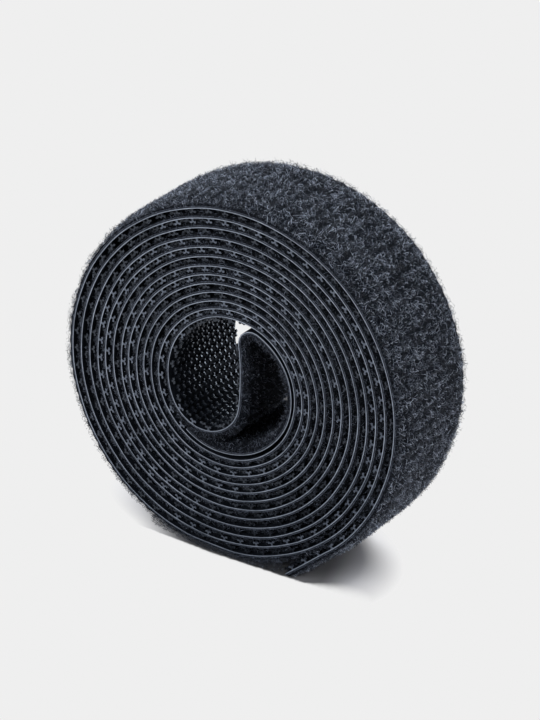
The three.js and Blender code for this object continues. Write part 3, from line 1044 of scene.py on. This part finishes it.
def make_floor():
    """A pale floor that keeps the roll's shadow and is even beyond it, as on the photo's cut-out background. Painted
    shade darkens its colour most where the roll touches it, and beside the tail."""
    half = FLOOR_SIZE / 2
    corners = [(-half, -half, 0), (half, -half, 0), (half, half, 0), (-half, half, 0)]
    floor = mesh_object("floor", corners, [(0, 1, 2, 3)], smooth=False)
    pale = Surface("pale_floor", PALE, roughness=0.8, Specular_IOR_Level=0.1)
    floor.data.materials.append(pale.material)
    at = pale.parts(pale.place)
    x, y = at["X"], at["Y"]

    def eased(value, start, end):
        return pale.mapped(value, start, end, interpolation_type="SMOOTHSTEP")

    def ring(middle_x, middle_y, reach_x, reach_y, start):
        """How far out a place lies between an oval inside the shade and the shade's end."""
        aside, deep = (
            pale.calculate("POWER", pale.over(pale.minus(place, middle), reach), 2.0)
            for place, middle, reach in ((x, middle_x, reach_x), (y, middle_y, reach_y))
        )
        return pale.mapped(pale.plus(aside, deep), start, SHADE_ENDS_AT)

    around = pale.mapped(eased(x, *SHADES_MEET), 0.0, 1.0, ring(*LEFT_SHADE), ring(*RIGHT_SHADE))
    rough = pale.minus(pale.noise(scale=900, detail=2), NOISE_MIDDLE)
    before = pale.blend(rough, SHADE_RAGGED, pale.blend(pale.larger(x, 0.0), SHADE_SLANT, SHADE_FRONT))
    frayed = pale.larger(pale.times(pale.minus(x, SHADE_FRAYS_FROM), SHADE_FRAYS), SHADE_SOFTNESS)
    ahead = eased(pale.minus(before, y), pale.times(frayed, -1.0), SHADE_SOFTNESS)
    # Painted shade: the floor's colour is darkened where the roll touches it and beside the tail
    touching = pale.times(eased(x, *CONTACT_LEFT), eased(x, *CONTACT_RIGHT))
    touching = pale.times(touching, eased(y, *CONTACT_FRONT))
    far = pale.larger(pale.times(around, pale.minus(1.0, touching)), ahead)
    from_tail = pale.blend(y, TAIL_SLANT, x)
    tail_shade_zone = pale.times(eased(from_tail, *TAIL_SHADE_RIGHT), eased(x, *TAIL_SHADE_LEFT))
    painted_shade = pale.larger(pale.times(touching, PAINTED_CONTACT_SHADE), pale.times(tail_shade_zone, PAINTED_TAIL_SHADE))
    left_pale = pale.minus(1.0, painted_shade)
    tinted = {part: pale.times(left_pale, PALE[0] * tint) for part, tint in enumerate(FLOOR_TINT)}
    pale.link(pale.add("ShaderNodeCombineColor", tinted)[0], "Base Color")
    seen = pale.add("ShaderNodeLightPath")["Is Camera Ray"]
    even = pale.add("ShaderNodeEmission", {"Color": (*PALE, 1), "Strength": 1.0})[0]
    mixed = pale.add("ShaderNodeMixShader", {0: pale.times(far, seen), 1: pale.shader.outputs[0], 2: even})[0]
    pale.tree.links.new(mixed, pale.tree.nodes["Material Output"].inputs["Surface"])


# Light. Lamps go by name, azimuth from the front towards the right, elevation, strength and spread, in degrees

COOL_LIGHT = (0.92, 0.98, 1.08, 1)
SURROUND, SURROUND_IN_SHINE, SURROUND_SEEN = 0.12, 0.4, 1.2
LAMPS = (
    ("key_back_left", -140, 48, 2.9, 45),
    ("front_fill", -12, 36, 1.65, 40),
    ("low_right", 92, 2, 0.75, 40),
    ("low_back", 138, 4, 2.5, 36),
)


def make_world():
    """A dim even surround, a little brighter in reflections, and white where the camera sees it."""
    world = bpy.data.worlds.new("studio")
    bpy.context.scene.world = world
    world.use_nodes = True
    nodes = Nodes(world.node_tree)
    dim = nodes.tree.nodes["Background"]
    dim.inputs["Color"].default_value = COOL_LIGHT
    dim.inputs["Strength"].default_value = SURROUND
    path = nodes.add("ShaderNodeLightPath")
    mixed = dim.outputs[0]
    for ray, strength in (("Is Glossy Ray", SURROUND_IN_SHINE), ("Is Camera Ray", SURROUND_SEEN)):
        other = nodes.add("ShaderNodeBackground", {"Color": COOL_LIGHT, "Strength": strength})[0]
        mixed = nodes.add("ShaderNodeMixShader", {0: path[ray], 1: mixed, 2: other})[0]
    nodes.tree.links.new(mixed, nodes.tree.nodes["World Output"].inputs["Surface"])


def make_sun(name, azimuth, elevation, strength, spread):
    """A wide soft lamp far off, placed by its azimuth and elevation."""
    lamp = bpy.data.lights.new(name, "SUN")
    lamp.energy = strength
    lamp.color = COOL_LIGHT[:3]
    lamp.angle = math.radians(spread)
    turn, rise = math.radians(azimuth), math.radians(elevation)
    place = Vector((math.sin(turn) * math.cos(rise), -math.cos(turn) * math.cos(rise), math.sin(rise)))
    linked(name, lamp).rotation_euler = place.to_track_quat("Z", "Y").to_euler()


# Camera

CAMERA_AZIMUTH = math.radians(30.6)
CAMERA_ELEVATION = math.radians(27.57)
CAMERA_ROLL = math.radians(4.75)
CAMERA_DISTANCE = 0.5515
ROLL_AXIS_ASIDE = -0.00123
ROLL_AXIS_BELOW = 0.00067
CAMERA_LENS = 175.75
CAMERA_SENSOR = 36
CAMERA_CLIP = (0.01, 20)


def make_camera():
    """Camera as far off and as turned as in the photo. The roll's axis lies a little off the middle of its view."""
    sin_a, cos_a = math.sin(CAMERA_AZIMUTH), math.cos(CAMERA_AZIMUTH)
    sin_e, cos_e = math.sin(CAMERA_ELEVATION), math.cos(CAMERA_ELEVATION)
    back = Vector((sin_a * cos_e, -cos_a * cos_e, sin_e))
    level_right = Vector((cos_a, sin_a, 0))
    level_up = back.cross(level_right)
    right = level_right * math.cos(CAMERA_ROLL) + level_up * math.sin(CAMERA_ROLL)
    up = back.cross(right)
    axis = Vector((0, 0, AXIS_HEIGHT))
    place = axis + back * CAMERA_DISTANCE - right * ROLL_AXIS_ASIDE + up * ROLL_AXIS_BELOW
    lens = bpy.data.cameras.new("camera")
    lens.lens = CAMERA_LENS
    lens.sensor_width = CAMERA_SENSOR
    lens.clip_start, lens.clip_end = CAMERA_CLIP
    camera = linked("camera", lens)
    camera.matrix_world = Matrix((*zip(right, up, back, place), (0, 0, 0, 1)))
    bpy.context.scene.camera = camera


make_floor()
make_world()
for lamp in LAMPS:
    make_sun(*lamp)
make_camera()
bpy.context.scene.view_settings.view_transform = "Standard"
